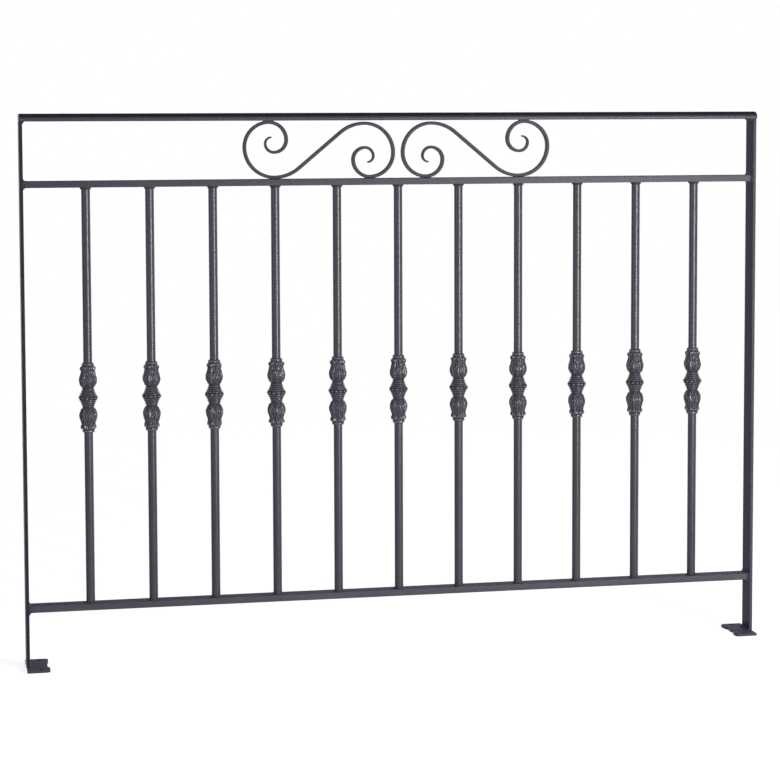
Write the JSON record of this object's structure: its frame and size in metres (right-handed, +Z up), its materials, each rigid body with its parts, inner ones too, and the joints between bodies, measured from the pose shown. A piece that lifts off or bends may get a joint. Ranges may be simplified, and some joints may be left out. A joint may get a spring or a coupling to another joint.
{
  "type": "steel balustrade panel",
  "caption": "Straight steel guard panel with a convex handrail, S-scroll frieze, round bar balusters with cast collars, flat bar posts and scalloped foot plates.",
  "frame": {"origin": "underside of the left foot plate, under the middle of the left post and in the panel's middle plane", "axes": "+X along the panel to the right foot, +Y to the back, +Z up"},
  "size_m": [1.38, 0.09, 1],
  "materials": {
    "painted_steel": "satin charcoal grey paint",
    "cast_iron": "satin charcoal grey paint over a cast surface"
  },
  "bodies": {
    "root": {"baluster_01": "painted_steel", "baluster_02": "painted_steel", "baluster_03": "painted_steel", "baluster_04": "painted_steel", "baluster_05": "painted_steel", "baluster_06": "painted_steel", "baluster_07": "painted_steel", "baluster_08": "painted_steel", "baluster_09": "painted_steel", "baluster_10": "painted_steel", "baluster_11": "painted_steel", "bottom_rail": "painted_steel", "collar_01": "cast_iron", "collar_02": "cast_iron", "collar_03": "cast_iron", "collar_04": "cast_iron", "collar_05": "cast_iron", "collar_06": "cast_iron", "collar_07": "cast_iron", "collar_08": "cast_iron", "collar_09": "cast_iron", "collar_10": "cast_iron", "collar_11": "cast_iron", "handrail": "painted_steel", "left_foot": "painted_steel", "left_post": "painted_steel", "mid_rail": "painted_steel", "right_foot": "painted_steel", "right_post": "painted_steel", "scroll_left": "painted_steel", "scroll_right": "painted_steel"}
  },
  "joints": []
}
